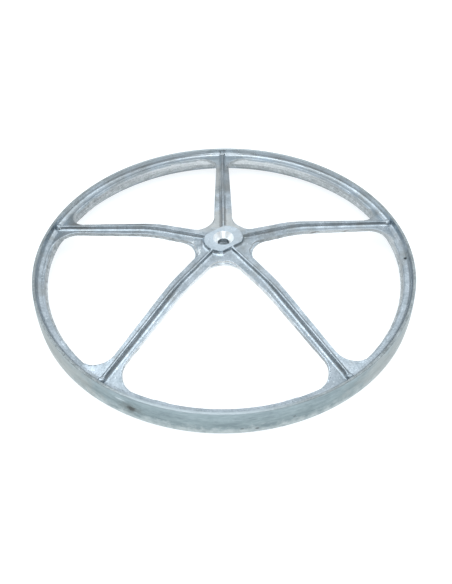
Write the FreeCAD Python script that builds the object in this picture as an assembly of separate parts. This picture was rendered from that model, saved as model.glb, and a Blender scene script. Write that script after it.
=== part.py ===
import FreeCAD, Part
import math
import os

# Drive pulley for a washing-machine drum: one aluminium die casting with a belt rim,
# five ribbed spokes and a raised hub, divided into its named stretches.
# Millimetres. +Z is the shaft axis and points to the ribbed outer side. The origin is
# on the axis, in the plane that the rim rests on. +Y runs along spoke_1.

# Belt rim
RIM_RADIUS = 145.0          # at the middle of the crowned belt face
RIM_HEIGHT = 21.0
CROWN_DROP = 0.45           # how much less the radius is at the belt face's two edges
WALL_TOP = 2.0              # thickness of the rim wall at its upper edge
WALL_FOOT = 3.0             # where it meets the flange
WALL_LOW = 1.4              # at its lower edge
RIM_EDGE_ROUND = 0.5        # on the upper edge
REST_EDGE_ROUND = 0.3       # on the lower edge, which the pulley rests on
FOOT_FILLET = 2.0

# Inner flange of the rim, and the web that runs on from it through spokes and hub
FLANGE_DROP = 5.0           # from the rim's upper edge down to the flange
FLANGE_REACH = 7.0          # from the belt face in to the upper edge of the windows
WEB_THICKNESS = 3.2
HUB_RISE = 21.6             # from the flange up to the web round the hub boss
BEND_AT = 57.0              # distance from the axis at which the spokes bend down
HUB_WEB_FALL = 0.031        # slope of the web inside that bend
BEND_ROUND = 45.0
SHALLOW_ROUND = 10.0        # where the web runs level, at the boss and at the flange
WEB_EDGE_ROUND = 0.8

# Land left round each window by the parting of the die: a lip below the flange at the
# rim, a narrow step in the web's edge along the spokes and at the hub
LIP_REACH = 10.4            # from the belt face in to the lip's trimmed edge
LIP_DROP = 4.4              # from the flange down to the lip
LIP_EDGE = 0.6              # height of that edge
LIP_UNDERCUT = 1.6          # the lip's lower face leans back this far
LIP_DEPTH = 4.6             # from the lip's upper face to the flange's underside
LAND = 0.1                  # width of the step along the spokes
LAND_DEPTH = 1.6            # from the web's upper face down to the step
LIP_TURN = 4.0              # distance over which the step drops to the lip

# Spokes
SPOKES = 5
FIRST_SPOKE = 90.0          # degrees from +X
SPOKE_WIDTH = 15.1          # of the web, worked out to the axis
SPOKE_TAPER = 0.0355        # width lost per millimetre outwards
HUB_UPPER_ROUND = 12.7      # plan radius of a window's corner at the hub, above the land
HUB_LOWER_ROUND = 15.8      # and below it
RIM_UPPER_ROUND = 16.0      # plan radius of its two corners at the rim, above the land
RIM_LOWER_ROUND = 12.0      # and below it

# Rib on each spoke
RIB_HEIGHT = 3.0
RIB_TOP_WIDTH = 2.0
RIB_DRAFT = 8.0             # degrees
RIB_TOP_ROUND = 0.7
RIB_FOOT_ROUND = 1.5
RIB_FOOT_SINK = 0.2         # the foot's round runs out this far under the web's face
RIB_ROOT = 1.5              # depth of the rib's section in the web
RIB_IN_WALL = 1.2           # length of its end inside the rim wall

# Hub boss on the upper side
BOSS_RADIUS = 15.0
BOSS_FLATS = 22.4           # width across its two flats
BOSS_FLAT_SPOKE = 4         # the flats are square to this spoke
BOSS_OVER_RIB = 0.5
BOSS_DRAFT = 5.0            # degrees
BOSS_ROOT = 1.5
BOSS_EDGE_ROUND = 0.5

# Bolt hole with its countersink, and the shaft socket in the barrel below
BOLT_HOLE = 8.5
COUNTERSINK = 15.4
COUNTERSINK_DEPTH = 4.4
BOLT_LAND = 3.2             # straight part of the bolt hole
SOCKET = 15.0
SOCKET_DEPTH = 9.5
KEYWAY = 5.0                # width of the keyway in the socket's wall
KEYWAY_DEPTH = 1.8          # beyond the socket's radius
BARREL_WALL = 4.0
BARREL_EDGE_ROUND = 0.8

# Straight spoke left in the hub's and in the rim's stretch of the casting
STUB = 2.5

SPAN = 360.0 / SPOKES
UPPER_RADIUS = RIM_RADIUS - FLANGE_REACH
LOWER_RADIUS = RIM_RADIUS - LIP_REACH
FLANGE_TOP = RIM_HEIGHT - FLANGE_DROP
LIP_TOP = FLANGE_TOP - LIP_DROP
HUB_WEB_TOP = FLANGE_TOP + HUB_RISE
BOSS_TOP = HUB_WEB_TOP + RIB_HEIGHT + BOSS_OVER_RIB
SOCKET_ROOF = BOSS_TOP - COUNTERSINK_DEPTH - BOLT_LAND
BARREL_BOTTOM = SOCKET_ROOF - SOCKET_DEPTH
BARREL_RADIUS = SOCKET / 2 + BARREL_WALL
ABOVE = BOSS_TOP + 10.0
TOUCH = 0.01                # how near counts as on a face or at a place
LOOK_UP = 0.5               # an edge with free space this far above it is an upper edge
ORIGIN = FreeCAD.Vector(0, 0, 0)
AXIS = FreeCAD.Vector(0, 0, 1)


def polar(radius, degrees, z=0.0):
    angle = math.radians(degrees)
    return FreeCAD.Vector(radius * math.cos(angle), radius * math.sin(angle), z)


def rounded_path(corners):
    """Edges along corners of (point, radius), where a radius of 0 stays sharp."""
    edges = []
    start = corners[0][0]
    for before, (point, radius), after in zip(corners, corners[1:], corners[2:]):
        end = point
        if radius > 0:
            back = (before[0] - point).normalize()
            ahead = (after[0] - point).normalize()
            half = back.getAngle(ahead) / 2
            end = point + back * (radius / math.tan(half))
            leave = point + ahead * (radius / math.tan(half))
            middle = point + (back + ahead).normalize() * (radius / math.sin(half) - radius)
            edges.append(Part.LineSegment(start, end).toShape())
            edges.append(Part.Arc(end, middle, leave).toShape())
            start = leave
        else:
            edges.append(Part.LineSegment(start, end).toShape())
            start = end
    edges.append(Part.LineSegment(start, corners[-1][0]).toShape())
    return edges


def web_points(shift=0.0):
    """Corners of the web's upper line from the boss to the level flange at the rim."""
    bend_z = HUB_WEB_TOP - HUB_WEB_FALL * (BEND_AT - BOSS_RADIUS)
    return [
        FreeCAD.Vector(BOSS_RADIUS, 0, HUB_WEB_TOP + shift),
        FreeCAD.Vector(BEND_AT, 0, bend_z + shift),
        FreeCAD.Vector(UPPER_RADIUS, 0, FLANGE_TOP + shift),
    ]


def lip_corners(shift, end, level):
    """Where a line under the web's face leaves it, and where it is down at a level."""
    bend, flange = web_points(shift)[1:]
    fall = (flange - bend).normalize()
    leave = bend + fall * ((end - LIP_TURN - bend.x) / fall.x)
    return [(leave, 0), (FreeCAD.Vector(end, 0, level), 0)]


def turned_body():
    """Belt wall, flange, dished web and barrel, turned from their half section."""
    edge = RIM_RADIUS - CROWN_DROP
    under = LIP_TOP - LIP_DEPTH
    crown_top = FreeCAD.Vector(edge, 0, RIM_HEIGHT - 2 * RIM_EDGE_ROUND)
    crown_low = FreeCAD.Vector(edge, 0, 2 * REST_EDGE_ROUND)
    upper = web_points()
    lower = web_points(-WEB_THICKNESS)
    edges = rounded_path([
        (crown_top, 0),
        (FreeCAD.Vector(edge, 0, RIM_HEIGHT), RIM_EDGE_ROUND),
        (FreeCAD.Vector(edge - WALL_TOP, 0, RIM_HEIGHT), RIM_EDGE_ROUND),
        (FreeCAD.Vector(edge - WALL_FOOT, 0, FLANGE_TOP), FOOT_FILLET),
        (upper[2], SHALLOW_ROUND),
        (upper[1], BEND_ROUND),
        (upper[0], SHALLOW_ROUND),
        (FreeCAD.Vector(0, 0, HUB_WEB_TOP), 0),
        (FreeCAD.Vector(0, 0, BARREL_BOTTOM), 0),
        (FreeCAD.Vector(BARREL_RADIUS, 0, BARREL_BOTTOM), BARREL_EDGE_ROUND),
        (FreeCAD.Vector(BARREL_RADIUS, 0, lower[0].z), FOOT_FILLET),
        (lower[0], 0),
        (lower[1], BEND_ROUND - WEB_THICKNESS),
    ] + lip_corners(-WEB_THICKNESS, LOWER_RADIUS, LIP_TOP - LIP_EDGE) + [
        (FreeCAD.Vector(LOWER_RADIUS + LIP_UNDERCUT, 0, under), 0),
        (FreeCAD.Vector(edge - WALL_FOOT, 0, under), FOOT_FILLET),
        (FreeCAD.Vector(edge - WALL_LOW, 0, 0), REST_EDGE_ROUND),
        (FreeCAD.Vector(edge, 0, 0), REST_EDGE_ROUND),
        (crown_low, 0),
    ])
    crown_middle = FreeCAD.Vector(RIM_RADIUS, 0, RIM_HEIGHT / 2)
    edges.append(Part.Arc(crown_low, crown_middle, crown_top).toShape())
    return Part.Face(Part.Wire(edges)).revolve(ORIGIN, AXIS, 360)


def spoke_side(land):
    """Half width of a spoke's web, worked out to the axis, less a land on its side."""
    return SPOKE_WIDTH / 2 - land


def window_apex(land):
    """Where the sides of two spokes would meet at the hub, for the first along +X."""
    bisector = math.tan(math.radians(SPAN / 2))
    x = spoke_side(land) / (bisector + SPOKE_TAPER / 2)
    return FreeCAD.Vector(x, x * bisector, 0)


def window_prism(radius, land, hub_round, rim_round):
    """Upright prism of the opening between the spoke along +X and the next one."""
    slope = -SPOKE_TAPER / 2
    half_b = slope * spoke_side(land)
    square = 1 + slope ** 2
    root = math.sqrt(half_b ** 2 - square * (spoke_side(land) ** 2 - radius ** 2))
    end_x = (root - half_b) / square
    end_angle = math.degrees(math.acos(end_x / radius))
    apex = window_apex(land)
    first = polar(radius, end_angle)
    last = polar(radius, SPAN - end_angle)
    outline = Part.Wire([
        Part.LineSegment(apex, first).toShape(),
        Part.Arc(first, polar(radius, SPAN / 2), last).toShape(),
        Part.LineSegment(last, apex).toShape(),
    ])
    prism = Part.Face(outline).extrude(AXIS * ABOVE)
    for corner_round, place in ((hub_round, apex.Length), (rim_round, radius)):
        corners = [e for e in prism.Edges if e.BoundBox.ZLength > ABOVE / 2
                   and abs(math.hypot(*e.CenterOfMass[:2]) - place) < TOUCH]
        prism = prism.makeFillet(corner_round, corners)
    return prism


def above_the_land():
    """Turned space over the windows' land, from the axis out to the rim wall."""
    start, bend = web_points(-LAND_DEPTH)[:2]
    lip = lip_corners(-LAND_DEPTH, LOWER_RADIUS, LIP_TOP)
    outer = RIM_RADIUS - WALL_FOOT
    corners = [FreeCAD.Vector(0, 0, start.z), start, bend] + [point for point, _ in lip] + [
        FreeCAD.Vector(outer, 0, LIP_TOP),
        FreeCAD.Vector(outer, 0, ABOVE),
        FreeCAD.Vector(0, 0, ABOVE),
    ]
    return Part.Face(Part.makePolygon(corners + corners[:1])).revolve(ORIGIN, AXIS, 360)


def place_on_spoke(shape, number):
    """A copy of a shape made along +X, turned to a spoke."""
    turned = shape.copy()
    turned.rotate(ORIGIN, AXIS, FIRST_SPOKE + SPAN * (number - 1))
    return turned


def open_windows(body):
    """The body with its windows cut, a land left in them and their upper edges rounded."""
    lower = window_prism(LOWER_RADIUS, 0.0, HUB_LOWER_ROUND, RIM_LOWER_ROUND)
    upper = window_prism(UPPER_RADIUS, LAND, HUB_UPPER_ROUND, RIM_UPPER_ROUND)
    upper = upper.common(above_the_land())
    numbers = range(1, SPOKES + 1)
    body = body.cut([place_on_spoke(lower, i) for i in numbers])
    uppers = [place_on_spoke(upper, i) for i in numbers]
    body = body.cut(uppers)
    walls = [f for prism in uppers for f in prism.Faces
             if abs(f.normalAt(0, 0).z) < TOUCH and f.BoundBox.ZMax > HUB_WEB_TOP]
    rims = []
    for edge in body.Edges:
        middle = edge.valueAt((edge.FirstParameter + edge.LastParameter) / 2)
        if any(w.distToShape(Part.Vertex(middle))[0] < TOUCH for w in walls):
            above = Part.Vertex(middle + AXIS * LOOK_UP)
            if body.distToShape(above)[0] > TOUCH:
                rims.append(edge)
    return body.makeFillet(WEB_EDGE_ROUND, rims)


def rib_section():
    """Upright section of a rib at the origin, in the YZ plane, z = 0 on the web."""
    lean = math.tan(math.radians(RIB_DRAFT))
    top = RIB_TOP_WIDTH / 2
    foot = top + lean * (RIB_HEIGHT + RIB_FOOT_SINK)
    out = foot + RIB_FOOT_ROUND
    half = [(out, -RIB_ROOT, 0), (out, -RIB_FOOT_SINK, 0), (foot, -RIB_FOOT_SINK, RIB_FOOT_ROUND),
            (top, RIB_HEIGHT, RIB_TOP_ROUND)]
    corners = [(0, -RIB_ROOT, 0)] + half
    corners += [(-y, z, r) for y, z, r in reversed(half)] + [(0, -RIB_ROOT, 0)]
    edges = rounded_path([(FreeCAD.Vector(0, y, z), r) for y, z, r in corners])
    return Part.Wire(edges)


def rib():
    """Rib along +X, which follows the web from inside the boss into the rim wall."""
    boss, bend, level = web_points()
    fall = (level - bend).normalize()
    wall = RIM_RADIUS - CROWN_DROP - WALL_FOOT + RIB_IN_WALL
    end = bend + fall * ((wall - bend.x) / fall.x)
    start = FreeCAD.Vector(COUNTERSINK / 2, 0, HUB_WEB_TOP)
    path = Part.Wire(rounded_path([(start, 0), (boss, SHALLOW_ROUND), (bend, BEND_ROUND), (end, 0)]))
    section = rib_section()
    section.translate(start)
    sweep = Part.BRepOffsetAPI.MakePipeShell(path)
    sweep.setBiNormalMode(FreeCAD.Vector(0, 1, 0))
    sweep.add(section)
    sweep.build()
    sweep.makeSolid()
    return sweep.shape()


def double_d(radius, flats):
    """Closed outline of a disc with two flats square to X, at z = 0."""
    half = flats / 2
    side = math.sqrt(radius ** 2 - half ** 2)
    corner = [FreeCAD.Vector(x, y, 0) for x, y in
              ((half, -side), (half, side), (-half, side), (-half, -side))]
    return Part.Wire([
        Part.LineSegment(corner[0], corner[1]).toShape(),
        Part.Arc(corner[1], FreeCAD.Vector(0, radius, 0), corner[2]).toShape(),
        Part.LineSegment(corner[2], corner[3]).toShape(),
        Part.Arc(corner[3], FreeCAD.Vector(0, -radius, 0), corner[0]).toShape(),
    ])


def boss():
    """Raised boss of the hub, its flats square to X, drafted from its top face."""
    low_z = HUB_WEB_TOP - BOSS_ROOT
    spread = math.tan(math.radians(BOSS_DRAFT)) * (BOSS_TOP - low_z)
    low = double_d(BOSS_RADIUS + spread, BOSS_FLATS + 2 * spread)
    low.translate(AXIS * low_z)
    top = double_d(BOSS_RADIUS, BOSS_FLATS)
    top.translate(AXIS * BOSS_TOP)
    solid = Part.makeLoft([low, top], True, True)
    rim = [e for e in solid.Edges if abs(e.BoundBox.ZMin - BOSS_TOP) < TOUCH]
    return solid.makeFillet(BOSS_EDGE_ROUND, rim)


def shaft_socket():
    """Blind socket from below, round with one keyway towards +X."""
    floor = FreeCAD.Vector(0, -KEYWAY / 2, BARREL_BOTTOM)
    keyway = Part.makeBox(SOCKET / 2 + KEYWAY_DEPTH, KEYWAY, SOCKET_DEPTH, floor)
    hole = Part.makeCylinder(SOCKET / 2, SOCKET_DEPTH, AXIS * BARREL_BOTTOM)
    return hole.fuse(keyway)


def bolt_hole():
    """Through hole with its countersink in the boss's top face."""
    straight = Part.makeCylinder(BOLT_HOLE / 2, ABOVE)
    sink = Part.makeCone(BOLT_HOLE / 2, COUNTERSINK / 2, COUNTERSINK_DEPTH,
                         AXIS * (BOSS_TOP - COUNTERSINK_DEPTH))
    return straight.fuse(sink)


def casting():
    """The whole casting as one solid."""
    body = open_windows(turned_body())
    ribs = [place_on_spoke(rib(), i + 1) for i in range(SPOKES)]
    body = body.fuse(ribs + [place_on_spoke(boss(), BOSS_FLAT_SPOKE)])
    return body.cut([bolt_hole(), place_on_spoke(shaft_socket(), BOSS_FLAT_SPOKE)])


def zones():
    """The casting's named stretches, as the space that each one takes."""
    turn = window_apex(0.0).Length + HUB_LOWER_ROUND / math.tan(math.radians(SPAN / 2))
    hub_radius = turn + STUB
    rim_radius = UPPER_RADIUS - RIM_UPPER_ROUND - STUB
    hub = Part.makeCylinder(hub_radius, ABOVE)
    inner = Part.makeCylinder(rim_radius, ABOVE)
    outer = Part.makeCylinder(RIM_RADIUS + STUB, ABOVE)
    wedge = Part.makeCylinder(rim_radius, ABOVE, ORIGIN, AXIS, SPAN)
    wedge.rotate(ORIGIN, AXIS, -SPAN / 2)
    found = {"hub": hub, "belt_rim": outer.cut(inner)}
    for number in range(1, SPOKES + 1):
        found["spoke_%d" % number] = place_on_spoke(wedge.cut(hub), number)
    return found


def main():
    os.makedirs("parts", exist_ok=True)
    whole = casting()
    print("casting", len(whole.Solids), "solid", whole.isValid(), round(whole.Volume, 1))
    for name, zone in zones().items():
        piece = whole.common(zone)
        print(name, len(piece.Solids), piece.isValid(), round(piece.Volume, 1))
        piece.exportStep("parts/" + name + ".step")


main()
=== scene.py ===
import logging
import math
from contextlib import contextmanager
from dataclasses import dataclass
from enum import Enum
from typing import Callable, Iterator, Sequence

import bpy
from mathutils import Matrix, Vector


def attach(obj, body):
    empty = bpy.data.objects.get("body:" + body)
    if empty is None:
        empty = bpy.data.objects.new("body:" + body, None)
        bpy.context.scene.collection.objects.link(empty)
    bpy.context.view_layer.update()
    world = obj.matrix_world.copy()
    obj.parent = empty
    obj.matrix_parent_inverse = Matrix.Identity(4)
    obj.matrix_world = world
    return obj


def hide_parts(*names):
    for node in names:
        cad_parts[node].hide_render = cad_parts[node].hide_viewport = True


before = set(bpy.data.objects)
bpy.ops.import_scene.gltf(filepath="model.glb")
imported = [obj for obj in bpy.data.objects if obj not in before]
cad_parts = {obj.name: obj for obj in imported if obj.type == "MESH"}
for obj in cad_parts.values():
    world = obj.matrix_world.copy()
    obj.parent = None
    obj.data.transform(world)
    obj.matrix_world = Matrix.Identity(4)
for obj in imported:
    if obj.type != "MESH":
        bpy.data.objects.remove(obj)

# Looks of a cast aluminium drive pulley for a washing-machine drum, built round its packed
# frame. The pieces are modelled in millimetres and brought to metres as their last step.

LOG = logging.getLogger("pulley")
MM = 0.001
BODY = "root"

Piece = bpy.types.Object
Tree = bpy.types.NodeTree
Socket = bpy.types.NodeSocket
Pair = tuple[float, float]
Triple = tuple[float, float, float]
Rule = Callable[[Vector, Vector], "Skin"]

# Where the belt wall's piece meets the flange's, in millimetres
WALL_SEAM = 138.4       # from the axis
FLANGE_UNDER = 7.0      # height of the flange's lower face

# How finely the meshes are made; lengths in millimetres
ROUND_STEPS = 6         # straight steps in a small round
BEND_STEPS = 12         # and in the wide bend of the spokes
FLARE_STEPS = 8         # and in the flared foot of a rib or of the boss
RING_STEPS = 360        # steps of a spin all round
STEPS_PER_DEGREE = 2    # and of a spin through part of a turn
FULL_TURN = 360.0
WEIGHT_STEPS = 8        # steps from no weight to full weight in a vertex group
WELD = 1e-4             # points nearer to each other than this are one
SEAM_WELD = 1e-3        # the same where copies of a stretch meet
SOFTENING = 4           # rounds of smoothing that give edges a casting's roundness
SMOOTH_SHARE = 0.5      # share of the way that a point moves in each of them
OVERRUN = 1.0           # how far a rib runs on past the blank that it stands on


class Cut(Enum):
    """How one solid acts on another."""

    ADD = "UNION"
    TAKE = "DIFFERENCE"
    KEEP = "INTERSECT"


def deselect() -> None:
    """Leave nothing selected."""
    bpy.ops.object.select_all(action="DESELECT")


def take_up(piece: Piece) -> None:
    """Make one piece the selected and active one.

    Args:
        piece: the mesh object.
    """
    deselect()
    piece.select_set(True)
    bpy.context.view_layer.objects.active = piece


@contextmanager
def editing(piece: Piece) -> Iterator[None]:
    """Edit a piece with all of it selected.

    Args:
        piece: the mesh object.

    Yields:
        Nothing, while the piece is in edit mode.
    """
    take_up(piece)
    bpy.ops.object.mode_set(mode="EDIT")
    bpy.ops.mesh.select_all(action="SELECT")
    yield
    bpy.ops.object.mode_set(mode="OBJECT")


def about_z(turn: float) -> Matrix:
    """Turn about the Z axis, given in degrees."""
    return Matrix.Rotation(math.radians(turn), 4, "Z")


def apply_modifier(piece: Piece, kind: str, **settings: object) -> None:
    """Add a modifier to a piece and apply it.

    Args:
        piece: the mesh object.
        kind: Blender's name for the modifier.
        settings: the modifier's own settings.
    """
    take_up(piece)
    modifier = piece.modifiers.new(kind.title(), kind)
    for name, value in settings.items():
        setattr(modifier, name, value)
    bpy.ops.object.modifier_apply(modifier=modifier.name)


def join_solid(piece: Piece, tool: Piece, cut: Cut) -> None:
    """Act on a piece with a tool solid, which is used up.

    Args:
        piece: the mesh object that is changed.
        tool: the closed mesh that acts on it.
        cut: whether the tool is added, taken away or intersected.
    """
    apply_modifier(piece, "BOOLEAN", object=tool, operation=cut.value, solver="MANIFOLD")
    bpy.data.objects.remove(tool)


def copy_of(piece: Piece, name: str, turn: float = 0.0) -> Piece:
    """Copy a piece with a mesh of its own, turned about the shaft axis.

    Args:
        piece: the mesh object to copy.
        name: the copy's name.
        turn: degrees about +Z.

    Returns:
        The copy, with its turn in its mesh.
    """
    other = piece.copy()
    other.data = piece.data.copy()
    other.name = name
    other.data.transform(about_z(turn))
    bpy.context.scene.collection.objects.link(other)
    return other


def join_pieces(pieces: Sequence[Piece], weld: float) -> Piece:
    """Join meshes into the first of them and weld what meets.

    Args:
        pieces: the mesh objects.
        weld: the distance within which points become one, in millimetres.

    Returns:
        The joined object.
    """
    take_up(pieces[0])
    for piece in pieces[1:]:
        piece.select_set(True)
    bpy.ops.object.join()
    weld_shell(pieces[0], weld)
    return pieces[0]


def weld_shell(piece: Piece, weld: float = WELD) -> None:
    """Weld a piece's doubles and turn its faces outwards.

    Args:
        piece: the mesh object.
        weld: the distance within which points become one, in millimetres.
    """
    with editing(piece):
        bpy.ops.mesh.remove_doubles(threshold=weld)
        bpy.ops.mesh.normals_make_consistent(inside=False)


def slice_off(piece: Piece, at: Vector, side: Vector, fill: bool) -> None:
    """Cut a piece with a plane and throw away what lies past it.

    Args:
        piece: the mesh object.
        at: a point of the plane.
        side: the plane's normal, towards the part thrown away.
        fill: whether the cut is closed with a face.
    """
    with editing(piece):
        bpy.ops.mesh.bisect(plane_co=at, plane_no=side, use_fill=fill, clear_outer=True)


def plate(name: str, outline: Sequence[Vector]) -> Piece:
    """Add a flat face with the given outline.

    Args:
        name: the new object's name.
        outline: its corners in order.

    Returns:
        The new object.
    """
    deselect()
    bpy.ops.mesh.primitive_circle_add(vertices=len(outline), fill_type="NGON")
    piece = bpy.context.object
    piece.name = name
    for vertex, place in zip(piece.data.vertices, outline):
        vertex.co = place
    return piece


def prism(name: str, outline: Sequence[Vector], height: float) -> Piece:
    """Extrude a level outline upwards into a closed solid.

    Args:
        name: the new object's name.
        outline: its corners in order, counter-clockwise.
        height: how far it is extruded.

    Returns:
        The new object.
    """
    piece = plate(name, outline)
    with editing(piece):
        bpy.ops.mesh.extrude_region_move(TRANSFORM_OT_translate={"value": (0, 0, height)})
    weld_shell(piece)
    return piece


def turned(name: str, section: Sequence[Pair], start: float, sweep: float,
           steps: int) -> Piece:
    """Spin a half section about the shaft axis.

    Args:
        name: the new object's name.
        section: corners as (distance from the axis, height).
        start: azimuth of the first section, in degrees.
        sweep: angle that is spun, in degrees; 360 closes the ring.
        steps: number of steps in the spin.

    Returns:
        The new closed solid.
    """
    angle = math.radians(start)
    places = [Vector((r * math.cos(angle), r * math.sin(angle), z)) for r, z in section]
    piece = plate(name, places)
    with editing(piece):
        if sweep >= FULL_TURN:
            bpy.ops.mesh.delete(type="ONLY_FACE")
            bpy.ops.mesh.select_all(action="SELECT")
        bpy.ops.mesh.spin(steps=steps, angle=math.radians(sweep), center=(0, 0, 0),
                          axis=(0, 0, -1))
    weld_shell(piece)
    return piece


def rounded(corners: Sequence[Triple], steps: int = ROUND_STEPS) -> list[Pair]:
    """Round the corners of a plane line.

    Args:
        corners: (x, y, radius) in order; the ends and corners of radius 0 stay sharp.
        steps: straight steps in each round.

    Returns:
        The points of the line.
    """
    points = [tuple(corners[0][:2])]
    for before, here, after in zip(corners, corners[1:], corners[2:]):
        place = Vector(here[:2])
        if here[2] <= 0:
            points.append(tuple(place))
            continue
        back = (Vector(before[:2]) - place).normalized()
        ahead = (Vector(after[:2]) - place).normalized()
        half = back.angle(ahead) / 2
        middle = place + (back + ahead).normalized() * (here[2] / math.sin(half))
        first = place + back * (here[2] / math.tan(half)) - middle
        turn = (place + ahead * (here[2] / math.tan(half)) - middle).angle_signed(first)
        for step in range(steps + 1):
            spot = Matrix.Rotation(turn * step / steps, 2) @ first
            points.append(tuple(middle + spot))
    points.append(tuple(corners[-1][:2]))
    return points


def rounded_loop(corners: Sequence[Triple], steps: int = ROUND_STEPS) -> list[Pair]:
    """Round a closed outline, which starts and ends at a sharp corner."""
    return rounded(list(corners) + [corners[0]], steps)[:-1]


def flare(reach: float, rise: float) -> list[Pair]:
    """Hollow curve from level ground up into a wall.

    Args:
        reach: distance from the wall at which the curve leaves the ground.
        rise: height at which it joins the wall.

    Returns:
        Points as (distance from the wall, height), from the ground up.
    """
    shares = [step / FLARE_STEPS for step in range(FLARE_STEPS + 1)]
    return [(reach * (1 - share) ** 2, rise * share ** 2) for share in shares]


def spread_rule(piece: Piece, name: str, rule: Callable[[Vector], float]) -> str:
    """Write a vertex group whose weights follow a rule.

    Args:
        piece: the mesh object, in millimetres.
        name: the group's name.
        rule: gives the weight from 0 to 1 for a point's place.

    Returns:
        The group's name.
    """
    group = piece.vertex_groups.new(name=name)
    shares: dict[int, list[int]] = {}
    for vertex in piece.data.vertices:
        share = round(WEIGHT_STEPS * min(1.0, max(0.0, rule(vertex.co))))
        if share:
            shares.setdefault(share, []).append(vertex.index)
    for share, members in shares.items():
        group.add(members, share / WEIGHT_STEPS, "REPLACE")
    return name


def roughen(piece: Piece, group: str, grain: float, depth: float) -> None:
    """Move a piece's points in and out along their normals by a cloud pattern.

    Args:
        piece: the mesh object, in millimetres.
        group: the vertex group that limits the move.
        grain: size of the pattern's features, in millimetres.
        depth: the whole range of the move, in millimetres.
    """
    cloud = bpy.data.textures.new(group, "CLOUDS")
    cloud.noise_scale = grain
    cloud.noise_depth = 2
    apply_modifier(piece, "DISPLACE", texture=cloud, texture_coords="LOCAL", strength=depth,
                   mid_level=0.5, vertex_group=group)
    bpy.data.textures.remove(cloud)


def to_metres(piece: Piece) -> None:
    """Bring a finished piece from millimetres to the frame's metres."""
    piece.data.transform(Matrix.Scale(MM, 4))
    piece.data.update()


def smooth_shade(piece: Piece, crease: float = 35.0) -> None:
    """Shade a piece smooth, with edges sharper than crease degrees kept."""
    take_up(piece)
    bpy.ops.object.shade_smooth_by_angle(angle=math.radians(crease))


def seat(piece: Piece, rule: Rule, *nodes: str) -> None:
    """Dress a finished piece, let it stand for its nodes of the frame and ride on the casting.

    Args:
        piece: the mesh object, in millimetres.
        rule: gives the skin of a face from its middle and its normal.
        nodes: the frame's nodes that the piece stands for.
    """
    smooth_shade(piece)
    faces = piece.data.polygons
    skins = [rule(face.center, face.normal) for face in faces]
    worn = [skin for skin in Skin if skin in skins]
    piece.data.materials.clear()
    for skin in worn:
        piece.data.materials.append(skin.material())
    faces.foreach_set("material_index", [worn.index(skin) for skin in skins])
    to_metres(piece)
    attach(piece, BODY)
    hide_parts(*nodes)
    LOG.info("%s: %d faces, stands for %s", piece.name, len(faces), ", ".join(nodes))


@dataclass(frozen=True)
class Web:
    """The dished web, from the boss down through the spokes to the rim's level flange."""

    boss_radius: float = 15.0
    hub_top: float = 37.6
    hub_fall: float = 0.031
    bend_at: float = 57.0
    bend_round: float = 95.0
    flange_at: float = 138.0
    flange_top: float = 16.0
    flange_round: float = 10.0
    thickness: float = 3.2

    def ridge(self, radius: float) -> float:
        """Height of the upper face if its slope ran on past the flange.

        Args:
            radius: distance from the axis.

        Returns:
            The height in millimetres.
        """
        hub = self.hub_top - self.hub_fall * max(0.0, min(radius, self.bend_at) - self.boss_radius)
        bend_top = self.hub_top - self.hub_fall * (self.bend_at - self.boss_radius)
        fall = (bend_top - self.flange_top) / (self.flange_at - self.bend_at)
        return hub - fall * max(0.0, radius - self.bend_at)

    def top(self, radius: float) -> float:
        """Height of the upper face, its rounds left out, at a distance from the axis."""
        return max(self.flange_top, self.ridge(radius))

    def low(self, radius: float) -> float:
        """Height of the lower face at a distance from the axis."""
        return self.top(radius) - self.thickness


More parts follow.
